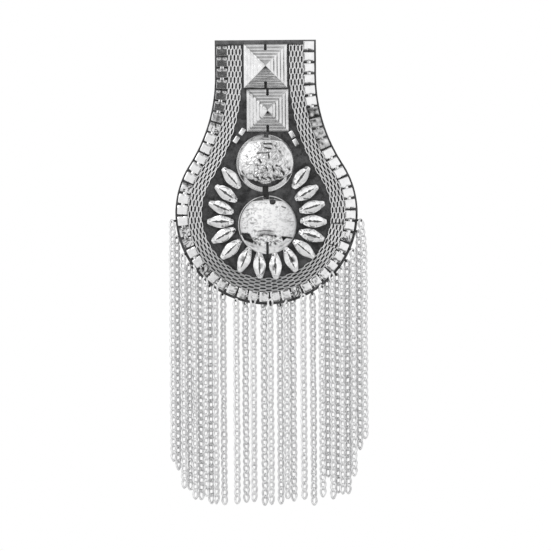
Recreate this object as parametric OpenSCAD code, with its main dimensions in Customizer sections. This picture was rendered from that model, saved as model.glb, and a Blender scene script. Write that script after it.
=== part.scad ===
// A chain-fringed shoulder epaulette: a felt keyhole board with sewn metal trims, studs and chains.
// It hangs flat. The front faces -Y and +Z is up. The origin is on the board's back, where the brooch
// pin sits, behind the upper square stud.

/* [Board] */
// Width of the straight neck
neck_w = 54.6; // [46:0.2:62]
// Length of the straight neck below the top edge
neck_h = 19.2; // [10:0.2:28]
// Diameter of the round lobe
lobe_d = 98.4; // [90:0.2:110]
// Thickness of the felt
board_t = 2.0; // [1.5:0.1:3]
// Height of the folded hem along the top edge
hem_h = 2.4; // [1.5:0.1:4]
// Distance from the top edge down to the brooch pin
pin_drop = 14; // [8:0.5:24]

/* [Tile chain] */
// Bare felt border outside the tiles
border_w = 1.0; // [0.6:0.1:2]
// Width of a tile across the band
tile_w = 5.7; // [4.5:0.1:6.5]
// Length of a tile along the band
tile_l = 4.9; // [4:0.1:6]
// Thickness of the tiles
tile_t = 0.9; // [0.5:0.1:1.4]
// Number of tiles in one strip
strip_tiles = 3; // [2:1:5]
// Width of the neck that joins two tiles
tile_neck_w = 2.0; // [1:0.1:3]
// Length of the neck that joins two tiles
tile_neck_l = 1.1; // [0.6:0.1:1.6]
// Sewing gap between two strips
strip_gap = 1.05; // [0.6:0.05:2]
// Way along the band from the top edge to the middle of the first sewing gap
first_gap = 8.8; // [8.4:0.1:14]

/* [Mesh band] */
// Width of the net ribbon
mesh_w = 7.4; // [5:0.1:8.5]
// Thickness of the net ribbon
mesh_t = 0.9; // [0.6:0.1:1.4]
// Distance between the rows of cells along the ribbon
cell_pitch = 4.1; // [3.5:0.1:6]
// Length of a cell
cell_l = 5.4; // [3:0.1:6.4]
// Width of a cell
cell_w = 1.0; // [0.6:0.1:1.4]
// Distance between two cells that lie side by side
cell_step = 3.5; // [2.8:0.1:4]

/* [Square studs] */
// Felt between the upper square stud and the net ribbon on either side
pyramid_upper_side = 1.3; // [0.6:0.1:4]
// Felt that the lower square stud would leave on either side of a straight neck
pyramid_lower_side = 1.7; // [1.4:0.1:4]
// Felt between the top edge and the upper square stud
pyramid_upper_top = 2.3; // [1:0.1:5]
// Felt between the two square studs
pyramid_between = 1.0; // [0.4:0.1:3]
// Number of steps up to the point
pyramid_steps = 6; // [4:1:9]
// Rise of each step
step_rise = 0.65; // [0.3:0.05:0.9]
// Thickness of the rim below the first step
pyramid_rim_t = 0.8; // [0.5:0.1:1.5]
// Sideways offset of the lower square stud
pyramid_lower_x = 1.0; // [-1:0.1:1.2]

/* [Round studs] */
// Outer diameter of the flange of the upper round stud
dome_upper_d = 31.2; // [26:0.2:32]
// Outer diameter of the flange of the lower round stud
dome_lower_d = 31.6; // [26:0.2:32]
// Felt between the lower square stud and the upper round stud
dome_upper_above = 1.6; // [0.6:0.1:4]
// Felt between the two round studs
dome_between = 1.8; // [0.6:0.1:4]
// Distance that the lower round stud sits below the middle of the lobe
dome_lower_sink = 6.1; // [3:0.1:7]
// Sideways offset of the upper round stud
dome_upper_x = -0.5; // [-1.5:0.1:1.5]
// Sideways offset of the lower round stud
dome_lower_x = 0.4; // [-1.5:0.1:1.5]
// Thickness of the flange
flange_t = 0.7; // [0.4:0.1:1.2]
// Flange that shows at the left and right of the cap
flange_side = 0.6; // [0.5:0.1:2]
// Flange that shows above the caps
flange_top = 2.8; // [2:0.1:4]
// Distance from the flange's edge up to the foot of the upper round stud's cap
dome_upper_foot = 5.2; // [2:0.1:6.5]
// Distance from the flange's edge up to the foot of the lower round stud's cap
dome_lower_foot = 3.6; // [2:0.1:6.5]
// Width of the flange that is left below the opening at the upper round stud's foot
foot_rim_w = 2.5; // [1.5:0.1:4]
// Radius of the cap's flatter top and bottom edges
cap_end_r = 23; // [18:0.5:30]
// Length of the upper round stud's sewing notch at its foot, from the flange's edge
dome_upper_notch_l = 3.0; // [1:0.1:6]
// Length of the lower round stud's sewing notch at its foot, which runs on into the cap
dome_lower_notch_l = 6.6; // [1:0.1:8]
// Width of the notches where the two round studs face each other
dome_notch_w = 3.2; // [1:0.1:5]
// Height of the cap's upright wall
cap_wall_h = 1.4; // [0.8:0.1:2.5]
// Rise of the cap's crown above that wall
crown_rise = 3.6; // [2:0.1:6]

/* [Navettes] */
// Length of a navette
navette_l = 14.4; // [11:0.2:16]
// Width of a navette
navette_w = 7.0; // [5.5:0.1:7.2]
// Width of a navette's blunt ends
navette_end_w = 2.4; // [0.8:0.1:3.6]
// Height of a navette's ridge above its underside
navette_h = 3.1; // [2:0.1:4.5]
// Thickness of the upright edge of a navette
navette_edge = 1.0; // [0.2:0.1:1.4]
// Diameter of the sewing shank under a navette
shank_d = 3.4; // [2:0.1:4]

/* [Beads] */
// Length of a tube bead
bead_l = 3.9; // [3:0.1:4.5]
// Width and height of a tube bead
bead_w = 2.6; // [2:0.1:3]
// Diameter of its thread hole
bead_bore_d = 0.9; // [0.5:0.1:1.4]

/* [Chain fringe] */
// Width across the fringe, between the middles of its outermost chains
fringe_w = 104.8; // [100.4:0.2:112]
// Distance from the middle of the lobe down to the longest chain's end
fringe_drop = 158; // [110:1:220]
// Width of a chain
chain_w = 3.3; // [2.4:0.1:3.5]
// Thickness of a chain
chain_t = 2.2; // [1.6:0.1:2.6]
// Angle below the lobe's widest line at which the outermost chains start
fringe_start = 6; // [4:0.5:12]

/* [Brooch pin] */
// Length of the pin's bar
pin_bar_l = 36; // [28:0.5:46]
// Height of the pin's bar
pin_bar_h = 5; // [4:0.1:7]
// Thickness of the pin's bar
pin_bar_t = 0.8; // [0.5:0.1:1.2]
// Diameter of the pin's wire
pin_wire_d = 1.0; // [0.7:0.1:1.4]
// Clear space for cloth between the bar and the wire
pin_clear = 2.2; // [1.5:0.1:3]
// Length of the block at each end of the bar
pin_block_l = 3; // [2:0.1:4]

/* [Stamped metal and seats] */
// Thickness of the sheet that the square and round studs are stamped from
sheet_t = 0.7; // [0.4:0.1:1]
// Clearance between a piece and the felt under it
seat_gap = 0.1; // [0.05:0.05:0.3]
// Clearance between the tiles and the net ribbon
band_gap = 0.2; // [0.1:0.1:0.5]
// Clearance between a chain and the rim of the board
chain_gap = 0.3; // [0.2:0.1:0.5]
// Clearance of a navette's points above the net ribbon and the flanges
navette_lift = 0.2; // [0.1:0.1:0.5]
// Width of the sewing notches in the studs
notch_w = 1.4; // [0.8:0.1:2]
// Depth of the sewing notches in the square studs
notch_l = 2.6; // [1.5:0.1:4]
// Diameter of the thread hole at the end of those notches
thread_hole_d = 1.7; // [1:0.1:2.4]

/* [Hidden] */
$fn = 48;
eps = 0.01;
over = 1;

top_z = pin_drop;
neck_r = neck_w / 2;
lobe_r = lobe_d / 2;
face_y = -board_t - seat_gap;

// Bands, by their distance in from the board's edge
tile_mid = border_w + tile_w / 2;
mesh_outer = border_w + tile_w + band_gap;
mesh_inner = mesh_outer + mesh_w;
mesh_mid = mesh_outer + mesh_w / 2;

// The studs stand one below the other from the top edge, and the lobe is cut round the last of them
pyramid_upper_w = 2 * (neck_r - mesh_inner - pyramid_upper_side);
pyramid_lower_w = 2 * (neck_r - mesh_inner - pyramid_lower_side);
pyramid_upper_z = top_z - pyramid_upper_top - pyramid_upper_w / 2;
pyramid_lower_z = pyramid_upper_z - (pyramid_upper_w + pyramid_lower_w) / 2 - pyramid_between;
dome_upper_z = pyramid_lower_z - (pyramid_lower_w + dome_upper_d) / 2 - dome_upper_above;
dome_lower_z = dome_upper_z - (dome_upper_d + dome_lower_d) / 2 - dome_between;
lobe_z = dome_lower_z + dome_lower_sink;

// The flare is one arc, tangent to the straight neck above it and to the round lobe below it
flare_z = top_z - neck_h;
flare_h = flare_z - lobe_z;
flare_r = (pow(neck_r, 2) + pow(flare_h, 2) - pow(lobe_r, 2)) / (2 * (lobe_r - neck_r));
flare_x = neck_r + flare_r;
flare_angle = atan2(flare_h, flare_x);

strip_l = strip_tiles * tile_l + (strip_tiles - 1) * tile_neck_l;
strip_pitch = strip_l + strip_gap;

// Height of a navette's underside above the felt, the two arcs of its outline, each drawn round a point
// beside the long axis, and the lens that gives it its ridge
shank_h = max(mesh_t, flange_t) + navette_lift;
lens_side = (pow(navette_l, 2) + pow(navette_end_w, 2) - pow(navette_w, 2)) / (4 * (navette_w - navette_end_w));
arc_r = lens_side + navette_w / 2;
lens_h = navette_h - navette_edge;
lens_sink = (pow(arc_r, 2) - pow(lens_side, 2) - pow(lens_h, 2)) / (2 * lens_h);
lens_r = sqrt(pow(arc_r, 2) + pow(lens_sink, 2));

// Navettes round the lower round stud, one row each: bearing from that stud's middle, turn of the long
// axis from the bearing, and shift outward as a share of the navette's length
NAVETTES = [
    [127.1, 3.3, 0.27],
    [142.4, 1.5, 0.04],
    [159.2, -1.5, 0.01],
    [175.8, 4.2, -0.01],
    [193.2, 16.0, -0.02],
    [213.6, 10.0, 0.00],
    [236.2, 11.0, -0.02],
    [258.6, 14.0, -0.01],
    [280.8, -8.5, 0.02],
    [303.6, -9.5, 0.00],
    [326.2, -5.5, 0.02],
    [346.0, -4.2, 0.02],
    [3.8, -6.8, -0.01],
    [21.2, -4.4, -0.01],
    [38.7, -9.5, 0.02],
    [54.1, -0.8, 0.25]
];

// Beads beside the upper round stud, one row each: name, side, whether it sits at the lower square stud's
// corner, way out, drop below that stud as a share of the bead's length, and direction. The way out is a
// share of the bead's length from the corner, or else of the spare room between round stud and net
BEADS = [
    ["bead_left_upper", -1, true, 0.62, 0.05, 56],
    ["bead_left_lower", -1, false, 0.80, 1.14, 56],
    ["bead_right_upper", 1, true, 0.46, 0.45, 120],
    ["bead_right_lower", 1, false, 0.70, 1.55, 120]
];

// Chains of the fringe, one row each: place as a share of half the fringe's width, end as a share of
// the fringe's drop, and row (1 in front, -1 behind)
CHAINS = [
    [-0.973, 0.846, 1],
    [-0.927, 0.877, -1],
    [-0.866, 0.938, 1],
    [-0.803, 0.945, -1],
    [-0.752, 0.976, 1],
    [-0.691, 0.979, -1],
    [-0.639, 0.966, 1],
    [-0.588, 0.993, -1],
    [-0.536, 0.993, 1],
    [-0.454, 0.996, -1],
    [-0.319, 0.993, 1],
    [-0.227, 0.989, -1],
    [-0.145, 0.986, 1],
    [-0.036, 1.000, -1],
    [0.031, 0.996, 1],
    [0.130, 0.996, -1],
    [0.197, 0.976, 1],
    [0.263, 0.986, -1],
    [0.370, 0.979, 1],
    [0.469, 1.000, -1],
    [0.561, 0.972, 1],
    [0.618, 0.904, -1],
    [0.670, 0.979, 1],
    [0.721, 0.959, -1],
    [0.767, 0.962, 1],
    [0.824, 0.962, -1],
    [0.885, 0.901, 1],
    [0.948, 0.812, -1],
    [1.000, 0.774, 1]
];
// Way down from a chain's top over which it swings out to its place, as a share of the fringe's drop
chain_swing = 0.09;
// Distance in depth between the middle of the felt and the middle of either row of chains
chain_row_y = chain_t / 2 + 0.15;

function numbered(name, i) = str(name, i < 9 ? "_0" : "_", i + 1);

// Lays a flat outline, drawn with x across and y up, against the felt's front
module on_felt(t, y = face_y) {
    translate([0, y, 0]) rotate([90, 0, 0]) linear_extrude(t) children();
}

// Stands a stud, drawn with its base at z = 0, on the felt's front
module stud_at(x, z, turn = 0) {
    translate([x, face_y, z]) rotate([90, 0, 0]) rotate([0, 0, turn]) children();
}

// The keyhole outline, moved in from the board's edge by a distance d
module keyhole(d = 0) {
    r = lobe_r - d;
    tangent_z = lobe_z + r * sin(flare_angle);
    translate([0, lobe_z]) circle(r, $fn = 180);
    difference() {
        translate([-lobe_r, tangent_z]) square([2 * lobe_r, flare_z - tangent_z]);
        for (side = [-1, 1]) translate([side * flare_x, flare_z]) circle(flare_r + d, $fn = 180);
    }
    translate([-neck_r + d, flare_z - eps]) square([2 * (neck_r - d), neck_h + eps]);
}

// Way along a band at inset d, from the top edge down and round to the middle of the lobe's bottom
function neck_way() = neck_h;
function flare_way(d) = (flare_r + d) * flare_angle * PI / 180;
function lobe_way(d) = (lobe_r - d) * (90 + flare_angle) * PI / 180;
function half_way(d) = neck_way() + flare_way(d) + lobe_way(d);

// Place and heading, [x, z, angle], after a way s along the left half of a band at inset d
function neck_place(s, d) = [-(neck_r - d), top_z - s, 270];
function flare_place(s, d) =
    let (a = s / (flare_r + d) * 180 / PI)
    [-flare_x + (flare_r + d) * cos(a), flare_z - (flare_r + d) * sin(a), 270 - a];
function lobe_place(s, d) =
    let (a = 180 - flare_angle + s / (lobe_r - d) * 180 / PI)
    [(lobe_r - d) * cos(a), lobe_z + (lobe_r - d) * sin(a), a + 90];
function left_place(s, d) =
    s <= neck_way() ? neck_place(s, d)
    : s <= neck_way() + flare_way(d) ? flare_place(s - neck_way(), d)
    : lobe_place(s - neck_way() - flare_way(d), d);
function mirrored(p) = [-p[0], p[1], -p[2]];
function band_place(s, d) =
    s <= half_way(d) ? left_place(s, d) : mirrored(left_place(2 * half_way(d) - s, d));

module along_band(s, d) {
    p = band_place(s, d);
    translate([p[0], p[1]]) rotate(p[2]) children();
}

module board() {
    color([0.27, 0.27, 0.28]) on_felt(board_t, 0) keyhole();
}

// One strip of tiles that starts after a way s along the band
module tile_strip(s, tiles, first_l = tile_l) {
    for (i = [0 : tiles - 1]) {
        l = i == 0 ? first_l : tile_l;
        along_band(s + i * (tile_l + tile_neck_l) + l / 2, tile_mid) square([l, tile_w], center = true);
        if (i > 0) along_band(s + i * (tile_l + tile_neck_l) - tile_neck_l / 2, tile_mid)
            square([2 * tile_neck_l, tile_neck_w], center = true);
    }
}

module tile_chain() {
    way = 2 * half_way(tile_mid);
    strips = floor((way - first_gap - strip_gap) / strip_pitch);
    last_s = first_gap + strip_gap / 2 + strips * strip_pitch;
    last_l = min(tile_l, way - last_s);
    color([0.82, 0.82, 0.83]) on_felt(tile_t) {
        tile_strip(first_gap - strip_gap / 2 - tile_l, 1);
        for (i = [0 : strips - 1]) tile_strip(first_gap + strip_gap / 2 + i * strip_pitch, strip_tiles);
        if (last_l > tile_neck_l) tile_strip(last_s, 1, last_l);
    }
}

// A long six-sided cell of the net
module mesh_cell() {
    half_l = cell_l / 2;
    half_w = cell_w / 2;
    side = half_l - cell_w;
    polygon([[-half_l, 0], [-side, -half_w], [side, -half_w], [half_l, 0], [side, half_w], [-side, half_w]]);
}

module mesh_band() {
    first = hem_h + cell_l / 2 + cell_w;
    way = 2 * half_way(mesh_mid);
    rows = floor((way - 2 * first) / cell_pitch);
    margin = (way - rows * cell_pitch) / 2;
    color([0.68, 0.68, 0.70]) on_felt(mesh_t) difference() {
        keyhole(mesh_outer);
        keyhole(mesh_inner);
        translate([-neck_r, top_z - hem_h]) square([2 * neck_r, hem_h + over]);
        for (i = [0 : rows]) along_band(margin + i * cell_pitch, mesh_mid)
            for (y = i % 2 == 0 ? [-cell_step / 2, cell_step / 2] : [0]) translate([0, y]) mesh_cell();
    }
}

// Square blocks on one base, each narrower and taller than the last, moved in by a wall all round
module square_steps(w, wall) {
    run = w / (2 * (pyramid_steps + 0.5));
    for (i = [0 : pyramid_steps]) {
        side = w - 2 * run * i - 2 * wall;
        h = pyramid_rim_t + step_rise * i - wall;
        if (side > 0 && h > 0) translate([-side / 2, -side / 2, 0]) cube([side, side, h]);
    }
}

// A stamped square stud: hollow, with a notch and a thread hole at the top and at the bottom
module pyramid_stud(w) {
    h = pyramid_rim_t + step_rise * pyramid_steps;
    difference() {
        square_steps(w, 0);
        translate([0, 0, -eps]) square_steps(w, sheet_t);
        for (turn = [0, 180]) rotate(turn) {
            translate([-notch_w / 2, w / 2 - notch_l, -over]) cube([notch_w, notch_l + over, h + 2 * over]);
            translate([0, w / 2 - notch_l, -over]) cylinder(d = thread_hole_d, h = h + 2 * over);
        }
    }
}

module pyramid_upper() {
    color([0.80, 0.80, 0.82]) stud_at(0, pyramid_upper_z) pyramid_stud(pyramid_upper_w);
}

module pyramid_lower() {
    color([0.78, 0.78, 0.80])
        stud_at(pyramid_lower_x, pyramid_lower_z) pyramid_stud(pyramid_lower_w);
}

// The cap's outline: a circle whose top and bottom are cut by two flatter arcs
module cap_outline(d, foot, wall) {
    intersection() {
        circle(d / 2 - flange_side - wall, $fn = 96);
        translate([0, d / 2 - flange_top - cap_end_r]) circle(cap_end_r - wall, $fn = 96);
        translate([0, cap_end_r - d / 2 + foot]) circle(cap_end_r - wall, $fn = 96);
    }
}

// The cap: an upright wall on that outline under a crown that is part of a sphere
module cap(d, foot, wall) {
    r = d / 2 - flange_side;
    crown_r = (r * r + crown_rise * crown_rise) / (2 * crown_rise);
    crown_z = flange_t + cap_wall_h + crown_rise - crown_r;
    intersection() {
        linear_extrude(crown_z + crown_r) cap_outline(d, foot, wall);
        translate([0, 0, crown_z]) sphere(crown_r - wall, $fn = 120);
    }
}

// The felt shows between the foot of the cap and the flange that is left below it
module foot_opening(d, foot) {
    translate([0, 0, -over]) linear_extrude(flange_t + 2 * over) difference() {
        circle(d / 2 - foot_rim_w, $fn = 96);
        cap_outline(d, foot, 0);
        translate([-d / 2, 0]) square(d);
    }
}

// A round stud with a sewing notch at the top, which stops short of the cap, and another at the foot
module dome_stud(d, foot, top_notch_w, foot_notch_w, foot_notch_l) {
    h = flange_t + cap_wall_h + crown_rise;
    difference() {
        union() {
            cylinder(d = d, h = flange_t, $fn = 120);
            cap(d, foot, 0);
        }
        translate([0, 0, -eps]) cap(d, foot, sheet_t);
        translate([-top_notch_w / 2, d / 2 - flange_top + sheet_t, -over])
            cube([top_notch_w, flange_top + over, 2 * over + flange_t]);
        translate([-foot_notch_w / 2, -d / 2 - over, -over])
            cube([foot_notch_w, foot_notch_l + over, h + 2 * over]);
    }
}

module dome_upper() {
    color([0.84, 0.84, 0.86]) stud_at(dome_upper_x, dome_upper_z) difference() {
        dome_stud(dome_upper_d, dome_upper_foot, notch_w, dome_notch_w, dome_upper_notch_l);
        foot_opening(dome_upper_d, dome_upper_foot);
    }
}

module dome_lower() {
    color([0.84, 0.84, 0.86]) stud_at(dome_lower_x, dome_lower_z)
        dome_stud(dome_lower_d, dome_lower_foot, dome_notch_w, notch_w, dome_lower_notch_l);
}

// A long oval with blunt ends and a ridge along it, its long axis along x, on a round sewing shank
module navette_stud() {
    translate([0, 0, shank_h]) intersection() {
        linear_extrude(navette_h) navette_outline();
        translate([0, lens_side, navette_edge - lens_sink]) sphere(lens_r, $fn = 120);
        translate([0, -lens_side, navette_edge - lens_sink]) sphere(lens_r, $fn = 120);
    }
    cylinder(d = shank_d, h = shank_h + navette_edge);
}

module navette_outline() {
    intersection() {
        translate([0, lens_side]) circle(arc_r, $fn = 96);
        translate([0, -lens_side]) circle(arc_r, $fn = 96);
        square([navette_l, navette_w + over], center = true);
    }
}

// Way from the lower round stud's middle to the net's inner edge along a bearing
function ring_reach(bearing) =
    let (dz = -dome_lower_sink,
         along = dome_lower_x * cos(bearing) + dz * sin(bearing),
         r = lobe_r - mesh_inner)
    sqrt(pow(along, 2) - pow(dome_lower_x, 2) - pow(dz, 2) + r * r) - along;

// Each navette lies midway between the round stud's edge and the net's inner edge, then is shifted
module navette(i) {
    bearing = NAVETTES[i][0];
    reach = (dome_lower_d / 2 + ring_reach(bearing)) / 2 + NAVETTES[i][2] * navette_l;
    x = dome_lower_x + reach * cos(bearing);
    z = dome_lower_z + reach * sin(bearing);
    color([0.90, 0.90, 0.91]) stud_at(x, z, bearing + NAVETTES[i][1]) navette_stud();
}

// Half the width between the net's inner edges at a height z
function net_inner_x(z) =
    z > flare_z ? neck_r - mesh_inner
    : z > lobe_z + (lobe_r - mesh_inner) * sin(flare_angle)
        ? flare_x - sqrt(pow(flare_r + mesh_inner, 2) - pow(flare_z - z, 2))
    : sqrt(pow(lobe_r - mesh_inner, 2) - pow(z - lobe_z, 2));

// Half the width of the upper round stud at a height z
function dome_upper_half(z) = sqrt(max(0, pow(dome_upper_d / 2, 2) - pow(z - dome_upper_z, 2)));

function corner_bead_x(side, out) = pyramid_lower_x + side * (pyramid_lower_w / 2 + out * bead_l);
function room_bead_x(side, z, out) =
    let (stud_x = dome_upper_x + side * dome_upper_half(z),
         spare = net_inner_x(z) - side * stud_x - bead_l)
    stud_x + side * (bead_l / 2 + out * spare);

module bead(b) {
    z = pyramid_lower_z - pyramid_lower_w / 2 - b[4] * bead_l;
    x = b[2] ? corner_bead_x(b[1], b[3]) : room_bead_x(b[1], z, b[3]);
    color([0.92, 0.92, 0.93]) stud_at(x, z, b[5]) difference() {
        translate([-bead_l / 2, -bead_w / 2, 0]) cube([bead_l, bead_w, bead_w]);
        translate([-bead_l / 2 - over, 0, bead_w / 2]) rotate([0, 90, 0])
            cylinder(d = bead_bore_d, h = bead_l + 2 * over, $fn = 24);
    }
}

// A flattened eight-sided ring round a point of a chain's route
function chain_ring(p) = [
    for (k = [0 : 7]) let (a = 22.5 + 45 * k)
    [p[0] + chain_w / 2 * cos(a) / cos(22.5), p[1] + chain_t / 2 * sin(a) / cos(22.5), p[2]]
];

// The route: from the lobe's rim, out over the swing, then straight down
function chain_route(i) =
    let (side = sign(CHAINS[i][0]),
         hang = abs(CHAINS[i][0]) * fringe_w / 2,
         start = min(hang, (lobe_r + chain_gap) * cos(fringe_start) + chain_w / 2),
         inner = max(0, start - chain_w / 2),
         under = sqrt(max(0, pow(lobe_r, 2) - inner * inner)),
         top = lobe_z - max(under, lobe_r * sin(fringe_start)) - chain_gap,
         y = -board_t / 2 - CHAINS[i][2] * chain_row_y,
         end = lobe_z - CHAINS[i][1] * fringe_drop)
    [[side * start, y, top], [side * hang, y, top - chain_swing * fringe_drop], [side * hang, y, end]];

module chain(i) {
    route = chain_route(i);
    last = 8 * (len(route) - 1);
    points = [for (p = route) each chain_ring(p)];
    walls = [
        for (j = [0 : len(route) - 2], k = [0 : 7]) let (n = (k + 1) % 8)
        [8 * j + k, 8 * j + n, 8 * j + 8 + n, 8 * j + 8 + k]
    ];
    top = [for (k = [7 : -1 : 0]) k];
    bottom = [for (k = [0 : 7]) last + k];
    color([0.78, 0.78, 0.80]) polyhedron(points, concat(walls, [top, bottom]));
}

module brooch_pin() {
    wire_y = seat_gap + pin_bar_t + pin_clear + pin_wire_d / 2;
    block_t = wire_y + pin_wire_d - seat_gap;
    color([0.62, 0.62, 0.64]) {
        translate([-pin_bar_l / 2, seat_gap, -pin_bar_h / 2]) cube([pin_bar_l, pin_bar_t, pin_bar_h]);
        for (side = [-1, 1])
            translate([side * (pin_bar_l - pin_block_l) / 2 - pin_block_l / 2, seat_gap, -pin_bar_h / 2])
                cube([pin_block_l, block_t, pin_bar_h]);
        translate([-pin_bar_l / 2 + pin_block_l / 2, wire_y, 0]) rotate([0, 90, 0])
            cylinder(d = pin_wire_d, h = pin_bar_l - pin_block_l);
    }
}

board();
tile_chain();
mesh_band();
pyramid_upper();
pyramid_lower();
dome_upper();
dome_lower();
for (i = [0 : len(NAVETTES) - 1]) navette(i);
for (b = BEADS) bead(b);
for (i = [0 : len(CHAINS) - 1]) chain(i);
brooch_pin();
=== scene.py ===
import random
from math import atan2, copysign, cos, exp, floor, hypot, pi, radians, sin, sqrt

import bmesh
import bpy
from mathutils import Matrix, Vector, noise


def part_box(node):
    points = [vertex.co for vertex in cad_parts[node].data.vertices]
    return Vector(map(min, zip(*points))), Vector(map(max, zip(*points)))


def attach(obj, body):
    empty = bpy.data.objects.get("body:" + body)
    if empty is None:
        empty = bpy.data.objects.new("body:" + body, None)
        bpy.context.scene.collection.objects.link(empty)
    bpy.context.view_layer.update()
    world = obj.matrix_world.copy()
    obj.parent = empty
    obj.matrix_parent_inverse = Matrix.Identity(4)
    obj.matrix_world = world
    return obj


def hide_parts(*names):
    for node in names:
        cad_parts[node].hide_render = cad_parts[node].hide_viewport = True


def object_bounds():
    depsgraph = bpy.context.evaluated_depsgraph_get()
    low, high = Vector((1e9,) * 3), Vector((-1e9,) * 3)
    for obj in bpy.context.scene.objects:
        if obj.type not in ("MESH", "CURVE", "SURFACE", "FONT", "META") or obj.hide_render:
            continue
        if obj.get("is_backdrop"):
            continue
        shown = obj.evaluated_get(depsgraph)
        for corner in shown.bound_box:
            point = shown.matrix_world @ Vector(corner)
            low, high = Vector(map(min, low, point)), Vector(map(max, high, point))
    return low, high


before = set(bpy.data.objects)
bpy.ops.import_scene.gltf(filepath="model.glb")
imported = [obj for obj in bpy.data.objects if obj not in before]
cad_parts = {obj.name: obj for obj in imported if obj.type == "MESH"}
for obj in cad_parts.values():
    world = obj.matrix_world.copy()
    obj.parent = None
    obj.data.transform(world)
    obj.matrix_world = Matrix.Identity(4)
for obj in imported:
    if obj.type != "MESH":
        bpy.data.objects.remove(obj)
cad_bounds = [list(corner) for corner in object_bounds()]

# The offsets of noise_vector come from the clock unless they have a seed
noise.seed_set(1)

# Shapes are worked out in millimetres and scaled to metres when a mesh is made
MM = 0.001


# Named sizes of the trims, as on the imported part
BOARD_T = 2.0
SEAT_GAP = 0.1
HEM_H = 2.4
BORDER_W = 1.0
TILE_W = 5.7
TILE_L = 4.9
TILE_T = 0.9
TILE_NECK_W = 2.0
TILE_NECK_L = 1.1
TILE_TRIM = 0.45
STRIP_TILES = 3
STRIP_GAP = 1.05
FIRST_GAP = 8.8
BAND_GAP = 0.2
MESH_W = 7.4
STUD_STEPS = 6
STEP_RISE = 0.65
RIM_T = 0.8
FLANGE_T = 0.7
FLANGE_SIDE = 0.6
FLANGE_TOP = 2.8
UPPER_FOOT = 5.2
LOWER_FOOT = 3.6
FOOT_RIM_W = 2.5
CAP_TOP_R = 52.0
CAP_FOOT_R = 23.0
CAP_WALL_H = 1.4
CROWN_RISE = 3.6
NAVETTE_L = 14.4
NAVETTE_W = 7.0
NAVETTE_END_W = 2.4
NAVETTE_H = 3.1
NAVETTE_EDGE = 1.0
NAVETTE_TIP_L = 0.4
HIP_L = 2.2
HIP_DROP = 1.3
SHANK_D = 3.4
NAVETTE_LIFT = 1.1
BEAD_L = 3.9
BEAD_W = 2.6
BEAD_BORE_D = 0.9
NOTCH_W = 1.4
WIDE_NOTCH_W = 3.2
NOTCH_L = 2.6
THREAD_HOLE_D = 1.7
LINK_PITCH = 3.9
LINK_W = 3.75
LINK_WIRE_D = 1.2


def node_points(name):
    return [v.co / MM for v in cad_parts[name].data.vertices]


def node_box(name):
    low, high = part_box(name)
    return low / MM, high / MM


def node_middle(name):
    """Middle of a node and its width, as seen from the front."""
    low, high = node_box(name)
    return (low.x + high.x) / 2, (low.z + high.z) / 2, high.x - low.x


board_low, board_high = node_box("board")
LOBE_R = (board_high.x - board_low.x) / 2
TOP_Z = board_high.z
LOBE_Z = board_low.z + LOBE_R
NECK_R = max(p.x for p in node_points("board") if p.z > TOP_Z - 0.01)
FLARE_Z = min(
    p.z for p in node_points("board") if abs(abs(p.x) - NECK_R) < 0.002 and p.z > LOBE_Z + LOBE_R
)
FACE_Y = -BOARD_T - SEAT_GAP

flare_h = FLARE_Z - LOBE_Z
FLARE_R = (NECK_R**2 + flare_h**2 - LOBE_R**2) / (2 * (LOBE_R - NECK_R))
FLARE_X = NECK_R + FLARE_R
FLARE_ANGLE = atan2(flare_h, FLARE_X)
NECK_WAY = TOP_Z - FLARE_Z

TILE_MID = BORDER_W + TILE_W / 2
MESH_OUTER = BORDER_W + TILE_W + BAND_GAP
MESH_MID = MESH_OUTER + MESH_W / 2


def clamp(value):
    return max(0.0, min(1.0, value))


def below(z, start, reach):
    """0 above a height, and 1 from a reach below it."""
    return clamp((start - z) / reach)


def bell(value, width, power=2):
    """A soft bump: 1 where the value is 0, and nearly 0 beyond twice the width."""
    return exp(-abs(value / width) ** power)


def uneven(x, y, z):
    """Smooth noise at a point, from about -1 to 1."""
    return noise.noise(Vector((x, y, z)))


# Bands that follow the board's edge

def flare_way(inset):
    return (FLARE_R + inset) * FLARE_ANGLE


def half_way(inset):
    """Way along a band from the top edge to the middle of the lobe's foot."""
    return NECK_WAY + flare_way(inset) + (LOBE_R - inset) * (pi / 2 + FLARE_ANGLE)


def left_place(s, inset):
    if s <= NECK_WAY:
        return -(NECK_R - inset), TOP_Z - s, -pi / 2
    s -= NECK_WAY
    if s <= flare_way(inset):
        r = FLARE_R + inset
        a = s / r
        return -FLARE_X + r * cos(a), FLARE_Z - r * sin(a), -pi / 2 - a
    s -= flare_way(inset)
    r = LOBE_R - inset
    a = pi - FLARE_ANGLE + s / r
    return r * cos(a), LOBE_Z + r * sin(a), a + pi / 2


def band_place(s, inset):
    """Place and heading, x, z and angle, after a way s along the band at that inset."""
    if s <= half_way(inset):
        return left_place(s, inset)
    x, z, heading = left_place(2 * half_way(inset) - s, inset)
    return -x, z, -heading


def on_band(s, inset, along=0.0, inward=0.0):
    x, z, heading = band_place(s, inset)
    c = cos(heading)
    n = sin(heading)
    return x + along * c - inward * n, z + along * n + inward * c


# Meshes

class Batch:
    """Gathers the points and faces of many small shapes into one mesh."""

    def __init__(self):
        self.verts = []
        self.faces = []

    def __iter__(self):
        return iter((self.verts, self.faces))

    def add(self, verts, faces):
        base = len(self.verts)
        self.verts.extend(verts)
        self.faces.extend(tuple(base + i for i in face) for face in faces)


def loft(rings, closed=False):
    """Points and faces of a skin over rings of equal length, closed into a loop or capped at both ends."""
    n = len(rings[0])
    count = len(rings)
    verts = [p for ring in rings for p in ring]
    faces = []
    for i in range(count if closed else count - 1):
        a = i * n
        b = (i + 1) % count * n
        faces += [(a + k, a + (k + 1) % n, b + (k + 1) % n, b + k) for k in range(n)]
    if not closed:
        faces.append(tuple(reversed(range(n))))
        faces.append(tuple(range((count - 1) * n, count * n)))
    return verts, faces


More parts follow.
